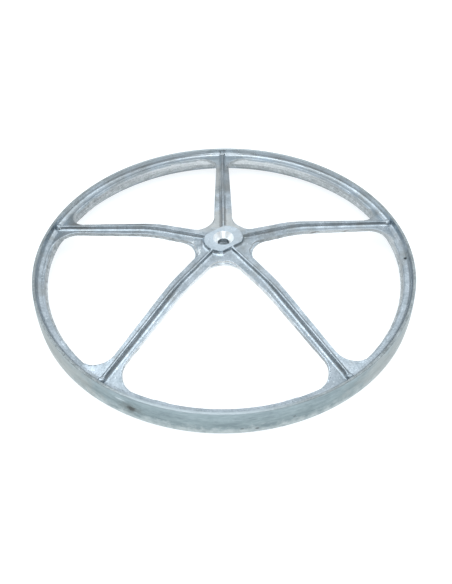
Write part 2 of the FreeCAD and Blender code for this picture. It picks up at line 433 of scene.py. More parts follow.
@dataclass(frozen=True)
class Window:
    """The opening between two spokes, with the land that the parting of the die left in it."""

    spokes: int = 5
    spoke_width: float = 15.1
    taper: float = 0.0355
    upper_radius: float = 136.3
    upper_rounds: Pair = (12.7, 15.2)
    lower_radius: float = 134.6
    lower_rounds: Pair = (15.8, 13.2)
    land: float = 0.1
    land_depth: float = 1.6
    lip_top: float = 11.6
    lip_turn: float = 4.0
    lip_rise: float = 1.0
    edge_from: float = 18.5
    edge_off: float = 4.2
    edge_lean: float = 0.7
    first: float = 90.0
    height: float = 60.0
    corner_steps: tuple[int, int] = (14, 18)
    edge_steps: int = 60

    @property
    def span(self) -> float:
        """Angle from one spoke to the next, in degrees."""
        return FULL_TURN / self.spokes

    @property
    def azimuths(self) -> list[float]:
        """Azimuth of each spoke, in degrees."""
        return [self.first + self.span * number for number in range(self.spokes)]

    def beside(self, place: Vector) -> float:
        """Distance of a point from the middle plane of the spoke nearest to it.

        Args:
            place: a point, in millimetres.

        Returns:
            The distance in millimetres.
        """
        turn = math.degrees(math.atan2(place.y, place.x)) - self.first
        off = (turn + self.span / 2) % self.span - self.span / 2
        return place.xy.length * abs(math.sin(math.radians(off)))

    def skin_at(self, centre: Vector, normal: Vector) -> "Skin":
        """Skin of a face of the web: trimmed on the window's edge and lip, cast elsewhere.

        Args:
            centre: middle of the face, in millimetres.
            normal: the way that it looks.

        Returns:
            The face's skin.
        """
        radius = centre.xy.length
        if not self.edge_from < radius < self.upper_radius:
            return Skin.CAST
        if self.beside(centre) < self.edge_off:
            return Skin.CAST
        lip = centre.z < self.lip_top + self.lip_rise and radius > self.lower_radius - self.lip_turn
        if abs(normal.z) < self.edge_lean or (lip and normal.z > 0):
            return Skin.TRIMMED
        return Skin.CAST

    def outline(self, radius: float, land: float, rounds: Pair) -> list[Vector]:
        """Plan outline of the window between the spoke along +X and the next one.

        Args:
            radius: distance from the axis to the window's outer edge.
            land: width by which the window is wider on the spokes' sides.
            rounds: radii of its corners at the hub and at the rim.

        Returns:
            The corners, counter-clockwise.
        """
        hub_round, rim_round = rounds
        lean = math.atan(self.taper / 2)
        side = Vector((math.sin(lean), math.cos(lean)))
        along = Vector((math.cos(lean), -math.sin(lean)))
        off = (self.spoke_width / 2 - land) * math.cos(lean)
        middle = math.radians(self.span / 2)
        bisector = Vector((math.cos(middle), math.sin(middle)))
        hub_centre = bisector * ((off + hub_round) / side.dot(bisector))
        reach = math.sqrt((radius - rim_round) ** 2 - (off + rim_round) ** 2)
        rim_centre = side * (off + rim_round) + along * reach
        down = 1.5 * math.pi - lean
        corner = math.atan2(rim_centre.y, rim_centre.x)
        hub_steps, rim_steps = self.corner_steps
        half = arc(hub_centre, hub_round, middle + math.pi, down, hub_steps)
        half += arc(rim_centre, rim_round, down, 2 * math.pi + corner, rim_steps)
        half += arc(Vector((0, 0)), radius, corner, middle, self.edge_steps)[1:]
        mirror = Matrix(((math.cos(2 * middle), math.sin(2 * middle)),
                         (math.sin(2 * middle), -math.cos(2 * middle))))
        other = [mirror @ point for point in reversed(half[1:-1])]
        return [point.to_3d() for point in half + other]

    def cutters(self, web: Web) -> tuple[Piece, Piece]:
        """Solids of the open space below and above the land, for the first window.

        Args:
            web: the web that the land lies in.

        Returns:
            The lower and the upper solid.
        """
        below = self.outline(self.lower_radius, 0.0, self.lower_rounds)
        above = self.outline(self.upper_radius, self.land, self.upper_rounds)
        lower = prism("lower_cutter", below, self.height)
        upper = prism("upper_cutter", above, self.height)
        turn = self.lower_radius - self.lip_turn
        start = web.boss_radius
        wall = self.upper_radius + self.lip_turn
        section = [(start, web.top(start) - self.land_depth),
                   (web.bend_at, web.top(web.bend_at) - self.land_depth),
                   (turn, web.top(turn) - self.land_depth),
                   (self.lower_radius, self.lip_top), (wall, self.lip_top),
                   (wall, 2 * self.height), (start, 2 * self.height)]
        space = turned("above_land", section, 0.0, self.span, STEPS_PER_DEGREE * int(self.span))
        join_solid(upper, space, Cut.KEEP)
        return lower, upper


def arc(centre: Vector, radius: float, start: float, end: float, steps: int) -> list[Vector]:
    """Points of an arc from one angle to another, in radians."""
    angles = [start + (end - start) * i / steps for i in range(steps + 1)]
    return [centre + Vector((math.cos(a), math.sin(a))) * radius for a in angles]


@dataclass(frozen=True)
class Rib:
    """The low rib that runs along the middle of a spoke."""

    height: float = 3.0
    top_width: float = 1.4
    top_round: float = 0.65
    draft: float = 18.0
    foot_reach: float = 3.7
    foot_rise: float = 1.7
    foot_sink: float = 0.2
    root: float = 1.5

    def section(self) -> list[Pair]:
        """Outline across the rib.

        Returns:
            Points as (sideways, up) in millimetres, with 0 on the web.
        """
        draft = math.tan(math.radians(self.draft))
        half = [(self.top_width / 2 + draft * (self.height - z) + y, z - self.foot_sink, 0.0)
                for y, z in flare(self.foot_reach, self.foot_rise)]
        half = [(half[0][0], -self.root, 0.0)] + half
        half.append((self.top_width / 2, self.height, self.top_round))
        other = [(-y, z, r) for y, z, r in reversed(half)]
        return rounded_loop([(0.0, -self.root, 0.0)] + half + other)

    def along(self, web: Web, start: float, end: float) -> Piece:
        """Extrude the rib along +X, over the web from one radius to another.

        Args:
            web: the web that it stands on.
            start: distance from the axis where it starts.
            end: distance from the axis where it ends; past the flange it runs on downwards.

        Returns:
            The closed solid.
        """
        turns = [(web.boss_radius, 0.0), (web.bend_at, web.bend_round)]
        path = [(start, web.ridge(start), 0.0)]
        path += [(x, web.ridge(x), turn) for x, turn in turns if start < x < end]
        path.append((end, web.ridge(end), 0.0))
        places = [Vector((x, 0, z)) for x, z in rounded(path, BEND_STEPS)]
        piece = plate("rib", [places[0] + Vector((0, y, z)) for y, z in self.section()])
        slope = 0.0
        with editing(piece):
            for here, there in zip(places, places[1:]):
                step = there - here
                bpy.ops.mesh.extrude_region_move(TRANSFORM_OT_translate={"value": step})
                new_slope = math.atan2(step.z, step.x)
                bpy.ops.transform.rotate(value=new_slope - slope, orient_axis="Y",
                                         center_override=there)
                slope = new_slope
        weld_shell(piece)
        return piece


def open_windows(blank: Piece, web: Web, window: Window, turns: Sequence[float]) -> None:
    """Cut windows out of a blank.

    Args:
        blank: the solid that is cut.
        web: the web that the blank is part of.
        window: the window's shape.
        turns: degrees from the first window to each that is cut.
    """
    lower, upper = window.cutters(web)
    for turn in turns:
        for cutter in (lower, upper):
            join_solid(blank, copy_of(cutter, "cutter", turn), Cut.TAKE)
    for cutter in (lower, upper):
        bpy.data.objects.remove(cutter)


def cast_skin(piece: Piece, voxel: float) -> None:
    """Give a closed blank the evenly rounded edges of a die casting.

    Args:
        piece: the closed blank.
        voxel: size of the new mesh's cells, in millimetres.
    """
    apply_modifier(piece, "REMESH", mode="VOXEL", voxel_size=voxel * 1)
    apply_modifier(piece, "SMOOTH", factor=SMOOTH_SHARE, iterations=SOFTENING)


@dataclass
class Stretch:
    """What the stretches of the casting share: web, windows, ribs and the seams between them."""

    web: Web
    window: Window
    rib: Rib
    hub_seam: float = 36.5
    root_seam: float = 119.5
    spare: float = 4.0


@dataclass
class Spokes(Stretch):
    """The five straight spoke stretches, modelled once and copied."""

    half_angle: float = 14.0
    spin_steps: int = 8
    voxel: float = 0.4

    def model(self) -> Piece:
        """Model the spoke along +X, longer than its stretch by the spare at each end.

        Returns:
            The closed blank.
        """
        web, bend = self.web, self.web.bend_at
        low, high = self.hub_seam - self.spare, self.root_seam + self.spare
        section = rounded_loop([
            (low, web.low(low), 0.0), (low, web.top(low), 0.0),
            (bend, web.top(bend), web.bend_round), (high, web.top(high), 0.0),
            (high, web.low(high), 0.0), (bend, web.low(bend), web.bend_round - web.thickness)],
            BEND_STEPS)
        blank = turned("spoke", section, -self.half_angle, 2 * self.half_angle, self.spin_steps)
        open_windows(blank, web, self.window, (0.0, -self.window.span))
        join_solid(blank, self.rib.along(web, low - OVERRUN, high + OVERRUN), Cut.ADD)
        return blank

    def build(self) -> list[Piece]:
        """Make the five spokes at their places.

        Returns:
            The finished pieces.
        """
        pattern = self.model()
        cast_skin(pattern, self.voxel)
        for seam, outwards in ((self.hub_seam, -1), (self.root_seam, 1)):
            slice_off(pattern, Vector((seam, 0, 0)), Vector((outwards, 0, 0)), True)
        made = []
        for number, azimuth in enumerate(self.window.azimuths, 1):
            name = f"spoke_{number}"
            spoke = copy_of(pattern, f"{name}_casting", azimuth)
            seat(spoke, self.window.skin_at, name)
            made.append(spoke)
        bpy.data.objects.remove(pattern)
        return made


@dataclass
class RimFlange(Stretch):
    """The rim's inner flange with its trimmed lip and the five spoke roots."""

    lip_low: float = 11.0
    undercut: float = 1.6
    rib_end: float = 142.7
    knob_at: Pair = (139.8, 16.9)
    knob_radius: float = 2.6
    knob_fineness: int = 4
    shoulder_reach: float = 2.1
    shoulder_rounds: int = 24
    burr: float = 2.4
    burr_depth: float = 0.5
    ring_low: float = -1.0
    seam_clear: float = 0.05
    voxel: float = 0.5

    def blank(self) -> Piece:
        """Model half of one spoke root with half a window's flange, each with some to spare.

        Returns:
            The closed blank.
        """
        web, window = self.web, self.window
        start, wide, under = self.root_seam - self.spare, WALL_SEAM + self.spare, FLANGE_UNDER
        turn = window.lower_radius - window.lip_turn
        section = rounded_loop([
            (start, web.low(start), 0.0), (start, web.top(start), 0.0),
            (web.flange_at, web.flange_top, web.flange_round), (wide, web.flange_top, 0.0),
            (wide, under, 0.0), (window.lower_radius + self.undercut, under, 0.0),
            (window.lower_radius, self.lip_low, 0.0), (turn, web.low(turn), 0.0)])
        spare_turn = math.degrees(self.spare / start) * 2
        sweep = window.span / 2 + 2 * spare_turn
        blank = turned("rim_flange_casting", section, -spare_turn, sweep,
                       int(STEPS_PER_DEGREE * sweep))
        open_windows(blank, web, window, (0.0, -window.span))
        join_solid(blank, self.rib.along(web, start - OVERRUN, self.rib_end), Cut.ADD)
        at, height = self.knob_at
        deselect()
        bpy.ops.mesh.primitive_ico_sphere_add(subdivisions=self.knob_fineness,
                                              radius=self.knob_radius, location=(at, 0, height))
        knob = bpy.context.object
        bpy.ops.object.transform_apply(location=True)
        join_solid(blank, knob, Cut.ADD)
        return blank

    def shoulder(self, place: Vector) -> float:
        """Share in the rounding of the step from the flange down to the lip.

        Args:
            place: a point, in millimetres.

        Returns:
            The share, which counts from 0 to 1.
        """
        window = self.window
        if place.z < window.lip_top + window.lip_rise or window.beside(place) < window.edge_off:
            return 0.0
        # full over the inner half of the reach, then falling to none
        return 2 - 2 * abs(place.xy.length - window.upper_radius) / self.shoulder_reach

    def trimmed(self, place: Vector) -> float:
        """Share in the trimmed edge's roughness: full on the lip, none on the flange above it.

        Args:
            place: a point, in millimetres.

        Returns:
            The share, which counts from 0 to 1.
        """
        window = self.window
        if place.xy.length > window.upper_radius or window.beside(place) < window.edge_off:
            return 0.0
        return (window.lip_top + window.lip_rise - place.z) / window.lip_rise

    def trim(self, piece: Piece) -> None:
        """Cut the blank where the belt wall starts, under its rib, and where the spoke starts.

        Args:
            piece: the blank, with its edges softened.
        """
        low, top = self.ring_low, self.web.flange_top + self.seam_clear
        wide = WALL_SEAM + 3 * self.spare
        ring = turned("ring", [(WALL_SEAM, low), (wide, low), (wide, top), (WALL_SEAM, top)],
                      0.0, FULL_TURN, RING_STEPS)
        join_solid(piece, ring, Cut.TAKE)
        inner, outer = self.root_seam - 4 * self.spare, self.root_seam
        left = self.window.spoke_width / 2
        right = -4 * left
        corners = ((inner, right, 0), (outer, right, 0), (outer, left, 0), (inner, left, 0))
        end = prism("end", [Vector(corner) for corner in corners], self.window.height)
        join_solid(piece, end, Cut.TAKE)

    def build(self) -> Piece:
        """Model half a fifth of the flange, mirror it and join the five.

        Returns:
            The finished piece.
        """
        half = self.blank()
        cast_skin(half, self.voxel)
        apply_modifier(half, "SMOOTH", factor=SMOOTH_SHARE, iterations=self.shoulder_rounds,
                       vertex_group=spread_rule(half, "shoulder", self.shoulder))
        self.trim(half)
        middle = math.radians(self.window.span / 2)
        for side in (Vector((0, -1, 0)), Vector((-math.sin(middle), math.cos(middle), 0))):
            slice_off(half, Vector((0, 0, 0)), side, False)
        apply_modifier(half, "MIRROR", use_axis=(False, True, False), merge_threshold=SEAM_WELD)
        parts = [copy_of(half, f"fifth_{azimuth:.0f}", azimuth) for azimuth in self.window.azimuths]
        bpy.data.objects.remove(half)
        piece = join_pieces(parts, SEAM_WELD)
        piece.name = "rim_flange_casting"
        edge = spread_rule(piece, "trimmed_edge", self.trimmed)
        roughen(piece, edge, self.burr, self.burr_depth)
        seat(piece, self.window.skin_at, "belt_rim")
        return piece


@dataclass
class BeltWall:
    """The rim's wall with its crowned belt face, turned all round."""

    web: Web
    radius: float = 145.0
    height: float = 21.0
    crown: float = 0.45
    wall_top: float = 2.0
    wall_foot: float = 3.0
    wall_low: float = 1.4
    edge_round: float = 0.5
    rest_round: float = 0.3
    foot_round: float = 3.4
    rows: int = 14
    edge_turn: float = 0.5

    def section(self) -> list[Pair]:
        """Half section of the wall, from the seam on the flange round to the seam below.

        Returns:
            Points as (distance from the axis, height) in millimetres.
        """
        edge = self.radius - self.crown
        low, high = 2 * self.rest_round, self.height - 2 * self.edge_round
        foot, top, under = edge - self.wall_foot, self.web.flange_top, FLANGE_UNDER
        line = rounded([
            (WALL_SEAM, top, 0.0), (foot, top, self.foot_round),
            (edge - self.wall_top, self.height, self.edge_round),
            (edge, self.height, self.edge_round), (edge, high, 0.0)])
        rise = (high - low) / 2
        for row in range(1, self.rows):
            z = high - (high - low) * row / self.rows
            off = (z - (high + low) / 2) / rise
            line.append((self.radius - self.crown * off ** 2, z))
        line += rounded([
            (edge, low, 0.0), (edge, 0.0, self.rest_round),
            (edge - self.wall_low, 0.0, self.rest_round), (foot, under, self.foot_round),
            (WALL_SEAM, under, 0.0)])
        return line

    def build(self) -> Piece:
        """Spin the wall's section into a closed ring.

        Returns:
            The finished piece.
        """
        piece = turned("belt_wall_casting", self.section(), 0.0, FULL_TURN, RING_STEPS)
        seat(piece, self.skin_at, "belt_rim")
        return piece

    def skin_at(self, centre: Vector, normal: Vector) -> "Skin":
        """Skin of a face: belt face outside, oxidised edge on top, cast inside.

        Args:
            centre: middle of the face, in millimetres.
            normal: the way that it looks.

        Returns:
            The face's skin.
        """
        if centre.xy.length > self.radius - 2 * self.crown and normal.z < self.edge_turn:
            return Skin.BELT
        return Skin.EDGE if centre.z > self.height - self.edge_round else Skin.CAST


@dataclass
class Hub(Stretch):
    """The web round the boss, the boss with its two flats, and the barrel with its holes."""

    boss_top: float = 41.1
    boss_flats: float = 22.4
    boss_root: float = 1.5
    boss_sink: float = 0.15
    boss_foot: Pair = (6.4, 2.2)
    boss_draft: float = 5.0
    flat_azimuth: float = 306.0
    core: float = 2.0
    bolt_hole: float = 8.5
    sink: float = 15.4
    sink_depth: float = 4.4
    bolt_land: float = 3.2
    socket: float = 15.0
    socket_depth: float = 9.5
    keyway: float = 5.0
    keyway_depth: float = 1.8
    barrel_wall: float = 4.0
    foot_round: float = 2.0
    bore_lean: Pair = (0.3, 0.95)
    web_steps: int = 120
    boss_steps: int = 40
    hole_steps: int = 96
    voxel: float = 0.36

    @property
    def barrel_bottom(self) -> float:
        """Height of the barrel's lower face."""
        return self.boss_top - self.sink_depth - self.bolt_land - self.socket_depth

    def disc(self) -> Piece:
        """Turn the web with the barrel below it, round a narrow core hole.

        Returns:
            The closed blank.
        """
        web, wide = self.web, self.hub_seam + self.spare
        barrel = self.socket / 2 + self.barrel_wall
        section = [(self.core, self.barrel_bottom), (self.core, web.hub_top),
                   (web.boss_radius, web.hub_top), (wide, web.top(wide)), (wide, web.low(wide)),
                   (web.boss_radius, web.low(web.boss_radius))]
        section += rounded([(web.boss_radius, web.low(web.boss_radius), 0.0),
                            (barrel, web.low(web.boss_radius), self.foot_round),
                            (barrel, self.barrel_bottom, 0.0)])[1:]
        return turned("hub_casting", section, 0.0, FULL_TURN, self.web_steps)

    def boss(self) -> Piece:
        """Model the boss with two flats square to one spoke, drafted and flared into the web.

        Returns:
            The closed solid, at its place.
        """
        rise = self.boss_top - self.web.hub_top
        draft = math.tan(math.radians(self.boss_draft))
        line = [(out + draft * (rise - z), z - self.boss_sink) for out, z in flare(*self.boss_foot)]
        out = line[0][0]
        line = [(out, -self.boss_root)] + line + [(0.0, rise)]
        half, radius = self.boss_flats / 2, self.web.boss_radius
        side = math.acos((half + out) / (radius + out))
        outline = []
        for start in (0.0, math.pi):
            outline += arc(Vector((0, 0)), radius + out, start + side,
                           start + math.pi - side, self.boss_steps)
        solid = plate("boss", [Vector((*point, line[0][1])) for point in outline])
        with editing(solid):
            for (here, low), (there, high) in zip(line, line[1:]):
                step = (0, 0, high - low)
                bpy.ops.mesh.extrude_region_move(TRANSFORM_OT_translate={"value": step})
                narrow = ((half + there) / (half + here), (radius + there) / (radius + here), 1.0)
                bpy.ops.transform.resize(value=narrow, center_override=(0, 0, high))
        weld_shell(solid)
        place = Matrix.Translation((0, 0, self.web.hub_top))
        solid.data.transform(place @ about_z(self.flat_azimuth))
        return solid

    def holes(self) -> list[Piece]:
        """Model the tools for the bolt hole, its countersink, the shaft socket and the keyway.

        Returns:
            The closed solids, in the order in which they are used.
        """
        deselect()
        made = []
        steps, bolt = self.hole_steps, self.bolt_hole / 2
        middle = (self.boss_top + self.barrel_bottom) / 2
        bpy.ops.mesh.primitive_cylinder_add(vertices=steps, radius=bolt, depth=self.boss_top,
                                            location=(0, 0, middle))
        made.append(bpy.context.object)
        # the cone and the socket stand out of the casting by as much as they go into it
        slope = (self.sink - self.bolt_hole) / 2 / self.sink_depth
        bpy.ops.mesh.primitive_cone_add(vertices=steps, radius1=bolt, depth=2 * self.sink_depth,
                                        radius2=bolt + 2 * self.sink_depth * slope,
                                        location=(0, 0, self.boss_top))
        made.append(bpy.context.object)
        bpy.ops.mesh.primitive_cylinder_add(vertices=steps, radius=self.socket / 2,
                                            depth=2 * self.socket_depth,
                                            location=(0, 0, self.barrel_bottom))
        made.append(bpy.context.object)
        reach = self.socket / 2 + self.keyway_depth
        bpy.ops.mesh.primitive_cube_add(size=1, location=(0, 0, self.barrel_bottom))
        key = bpy.context.object
        size = Matrix.Diagonal((reach, self.keyway, 2 * self.socket_depth, 1))
        place = Matrix.Translation((reach / 2, 0, 0))
        key.data.transform(about_z(self.flat_azimuth) @ place @ size)
        made.append(key)
        for tool in made:
            take_up(tool)
            bpy.ops.object.transform_apply(location=True)
        return made

    def build(self) -> Piece:
        """Model the hub, soften it as a casting and then bore its holes.

        Returns:
            The finished piece.
        """
        piece, azimuths = self.disc(), self.window.azimuths
        open_windows(piece, self.web, self.window, azimuths)
        for azimuth in azimuths:
            rib = self.rib.along(self.web, self.sink / 2, self.hub_seam + self.spare + OVERRUN)
            rib.data.transform(about_z(azimuth))
            join_solid(piece, rib, Cut.ADD)
        join_solid(piece, self.boss(), Cut.ADD)
        cast_skin(piece, self.voxel)
        for azimuth in azimuths:
            angle = math.radians(azimuth)
            out = Vector((math.cos(angle), math.sin(angle), 0))
            slice_off(piece, out * self.hub_seam, out, True)
        for tool in self.holes():
            join_solid(piece, tool, Cut.TAKE)
        seat(piece, self.skin_at, "hub")
        return piece

    def skin_at(self, centre: Vector, normal: Vector) -> "Skin":
        """Skin of a face: bored in the countersink, else as on the rest of the web.

        Args:
            centre: middle of the face, in millimetres.
            normal: the way that it looks.

        Returns:
            The face's skin.
        """
        radius = centre.xy.length
        if radius < self.sink / 2 and self.bore_lean[0] < normal.z < self.bore_lean[1]:
            return Skin.BORED
        return self.window.skin_at(centre, normal)


def linear(code: str) -> tuple[float, float, float, float]:
    """Turn an sRGB hex colour into linear light.

    Args:
        code: the colour, as #rrggbb.

    Returns:
        Red, green, blue and an alpha of 1.
    """
    parts = [int(code[i:i + 2], 16) / 255 for i in (1, 3, 5)]
    light = [c / 12.92 if c <= 0.04045 else ((c + 0.055) / 1.055) ** 2.4 for c in parts]
    return (*light, 1.0)


def add_node(tree: Tree, kind: str, links: dict[str | int, object],
             **settings: object) -> bpy.types.Node:
    """Add one node to a material.

    Args:
        tree: the material's node tree.
        kind: the node's type, without the ShaderNode at its start.
        links: for each input, by name or number, an output socket to link or a value to set.
        settings: the node's own settings.

    Returns:
        The new node.
    """
    node = tree.nodes.new(f"ShaderNode{kind}")
    for name, value in settings.items():
        setattr(node, name, value)
    for key, value in links.items():
        if isinstance(value, Socket):
            tree.links.new(value, node.inputs[key])
        else:
            node.inputs[key].default_value = value
    return node


def per_metre(size: float) -> float:
    """Noise scale that gives a pattern with features of a size in millimetres."""
    return 1000.0 / size


def lay_over(tree: Tree, below: Socket, colour: str, pattern: Socket, spread: Pair, cover: float,
             **settings: object) -> Socket:
    """Lay a colour over another one, more of it as a pattern goes through a range.

    Args:
        tree: the material's node tree.
        below: the colour that shows where the pattern has not reached the range.
        colour: the hex code of the colour that is laid over it.
        pattern: a value at each point.
        spread: the pattern's values at no cover and at full cover.
        cover: the most that the colour hides of what lies below, from 0 to 1.
        settings: how the cover grows in between.

    Returns:
        The two colours together.
    """
    share = add_node(tree, "MapRange", {"Value": pattern, "From Min": spread[0],
                                        "From Max": spread[1], "To Max": cover}, **settings)
    return add_node(tree, "Mix", {"Factor": share.outputs[0], 6: below, 7: linear(colour)},
                    data_type="RGBA").outputs[2]


@dataclass(frozen=True)
class Mark:
    """A ragged spot, streak or stretch that differs from the skin round it.

    Its place and its reach along X, Y and Z are in millimetres, as is the grain of its edge.
    The fade runs from no mark to full mark, as shares of the reach.
    """

    place: Triple
    reach: Triple
    colour: str
    strength: float = 1.0
    ragged: float = 0.5
    grain: float = 2.5
    fade: Pair = (1.2, 0.4)
    fray: Pair = (0.25, 0.75)

    def lay(self, tree: Tree, place: Socket, colour: Socket) -> Socket:
        """Lay the mark over a colour.

        Args:
            tree: the material's node tree.
            place: the point on the piece.
            colour: what lies below the mark.

        Returns:
            The colour with the mark.
        """
        off = add_node(tree, "VectorMath", {0: place, 1: [c * MM for c in self.place]},
                       operation="SUBTRACT")
        near = add_node(tree, "VectorMath", {0: off.outputs[0], 1: [r * MM for r in self.reach]},
                        operation="DIVIDE")
        far = add_node(tree, "VectorMath", {0: near.outputs[0]}, operation="LENGTH")
        fray = add_node(tree, "TexNoise", {"Vector": place, "Scale": per_metre(self.grain),
                                           "Detail": 4.0, "Roughness": 0.65})
        edge = add_node(tree, "MapRange", {
            "Value": fray.outputs["Fac"], "From Min": self.fray[0], "From Max": self.fray[1],
            "To Min": -self.ragged, "To Max": self.ragged})
        total = add_node(tree, "Math", {0: far.outputs["Value"], 1: edge.outputs[0]},
                         operation="ADD")
        return lay_over(tree, colour, self.colour, total.outputs[0], self.fade, self.strength,
                        interpolation_type="SMOOTHSTEP")


@dataclass(frozen=True)
class Finish:
    """A surface of the casting: two tones in a mottle, a fine relief and the marks of use.

    All sizes are in millimetres. The mottle is made of broad patches and fine speckles, which
    the stretch draws out along X, Y and Z. Its light places are the smoother ones.
    """

    name: str = "aluminium"
    dark: str = "#8b969d"
    light: str = "#b0bac2"
    patch: float = 9.0
    speckle: float = 1.6
    speckle_share: float = 0.45
    stretch: Triple = (1.0, 1.0, 1.0)
    spread: Pair = (0.36, 0.64)
    roughness: Pair = (0.26, 0.38)
    metallic: float = 1.0
    wave: float = 7.0
    wave_depth: float = 0.12
    grain: float = 0.9
    grain_depth: float = 0.04
    marks: tuple[Mark, ...] = ()

    def mottle(self, tree: Tree, place: Socket) -> Socket:
        """Share of the light tone, from broad patches and fine speckles.

        Args:
            tree: the material's node tree.
            place: the point on the piece.

        Returns:
            The share at each point, from 0 to 1.
        """
        drawn = add_node(tree, "VectorMath", {0: place, 1: [1 / s for s in self.stretch]},
                         operation="MULTIPLY").outputs[0]
        broad, fine = (
            add_node(tree, "TexNoise", {"Vector": drawn, "Scale": per_metre(size),
                                        "Detail": detail}).outputs["Fac"]
            for size, detail in ((self.patch, 3.0), (self.speckle, 4.0)))
        both = add_node(tree, "Mix", {"Factor": self.speckle_share, 2: broad, 3: fine},
                        data_type="FLOAT")
        return add_node(tree, "MapRange", {"Value": both.outputs[0], "From Min": self.spread[0],
                                           "From Max": self.spread[1]}).outputs[0]

    def tint(self, tree: Tree, place: Socket, share: Socket) -> Socket:
        """Colour of the bare surface from the share of the light tone."""
        return add_node(tree, "Mix", {"Factor": share, 6: linear(self.dark), 7: linear(self.light)},
                        data_type="RGBA").outputs[2]

    def build(self) -> bpy.types.Material:
        """Make the material.

        Returns:
            The material, with its nodes.
        """
        material = bpy.data.materials.new(self.name)
        material.use_nodes = True
        tree = material.node_tree
        tree.nodes.clear()
        place = add_node(tree, "TexCoord", {}).outputs["Object"]
        share = self.mottle(tree, place)
        colour = self.tint(tree, place, share)
        for mark in self.marks:
            colour = mark.lay(tree, place, colour)
        rough = add_node(tree, "MapRange", {"Value": share, "To Min": self.roughness[1],
                                            "To Max": self.roughness[0]})
        waves, pits = (
            add_node(tree, "TexNoise", {"Vector": place, "Scale": per_metre(size),
                                        "Detail": detail}).outputs["Fac"]
            for size, detail in ((self.wave, 1.0), (self.grain, 3.0)))
        swell = add_node(tree, "Bump", {"Height": waves, "Strength": 1.0,
                                        "Distance": self.wave_depth * MM})
        relief = add_node(tree, "Bump", {"Height": pits, "Strength": 1.0,
                                         "Distance": self.grain_depth * MM,
                                         "Normal": swell.outputs[0]})
        shader = add_node(tree, "BsdfPrincipled", {
            "Base Color": colour, "Metallic": self.metallic, "Roughness": rough.outputs[0],
            "Normal": relief.outputs[0]})
        add_node(tree, "OutputMaterial", {"Surface": shader.outputs[0]})
        return material


@dataclass(frozen=True)
class CastSkin(Finish):
    """As-cast skin of die-cast aluminium.

    The metal chills on the die into a cool grey mottle. Where it ran cold it is flatter and
    warmer, and small flecks of bright metal show where the release agent burnt off. The
    flecks are drawn coarser than they are, for the picture to show them.
    """

    name: str = "as_cast_aluminium"
    warm: str = "#8e9394"
    warm_patch: float = 16.0
    warm_side: float = 0.9
    warm_spread: Pair = (0.5, 0.68)
    fleck: str = "#d9e2e6"
    fleck_size: float = 1.3
    fleck_spread: Pair = (0.66, 0.74)
    cover: float = 0.8
    marks: tuple[Mark, ...] = (
        # smooth top of the boss, painted lighter: partly its smoother skin, partly a painted
        # highlight
        Mark((0.0, 0.0, 41.2), (24.0, 24.0, 2.2), "#cbd8e2", 0.4, 0.3, 4.0),
        # painted shade: the bore painted near black, where its depth lies in shade
        Mark((0.0, 0.0, 29.0), (9.5, 9.5, 9.0), "#34383a", 0.9, 0.2),
        # painted light on the left side and painted shade on the right side of the rear spoke
        Mark((-5.0, 92.0, 26.0), (4.5, 46.0, 12.0), "#c3c5c3", 0.6, 0.5, 5.0),
        Mark((5.0, 112.0, 22.0), (4.5, 26.0, 8.0), "#6f7478", 0.35, 0.5, 5.0),
        # pit in the flange
        Mark((139.6, 1.2, 16.5), (1.5, 1.5, 1.6), "#2f3438", 0.95, 0.2),
        # warm web behind the boss, and a painted highlight that makes the flange of the rear
        # brighter
        Mark((0.0, 24.0, 37.3), (30.0, 14.0, 5.0), "#b9bab7", 0.6, 0.6, 7.0),
        Mark((0.0, 120.0, 17.5), (140.0, 50.0, 5.5), "#c8d2da", 0.34, 0.4, 9.0),
        # two chips by the boss
        Mark((-23.2, -0.1, 37.3), (2.4, 1.2, 1.0), "#e9eff1", 0.6, 1.1, 1.2),
        Mark((-18.0, -10.4, 37.3), (1.3, 4.0, 1.0), "#e9eff1", 0.65, 1.1, 1.2))

    def tint(self, tree: Tree, place: Socket, share: Socket) -> Socket:
        """Add the warm patches, more of them towards +Y, and the flecks.

        Args:
            tree: the material's node tree.
            place: the point on the piece.
            share: share of the light tone.

        Returns:
            The colour at each point.
        """
        cool = super().tint(tree, place, share)
        clouds = add_node(tree, "TexNoise", {"Vector": place, "Detail": 4.0,
                                             "Scale": per_metre(self.warm_patch)})
        side = add_node(tree, "SeparateXYZ", {0: place})
        lean = add_node(tree, "Math", {0: side.outputs["Y"], 1: self.warm_side,
                                       2: clouds.outputs["Fac"]}, operation="MULTIPLY_ADD")
        dots = add_node(tree, "TexNoise", {"Vector": place, "Detail": 2.0,
                                           "Scale": per_metre(self.fleck_size)})
        warmed = lay_over(tree, cool, self.warm, lean.outputs[0], self.warm_spread, self.cover)
        return lay_over(tree, warmed, self.fleck, dots.outputs["Fac"], self.fleck_spread,
                        self.cover)


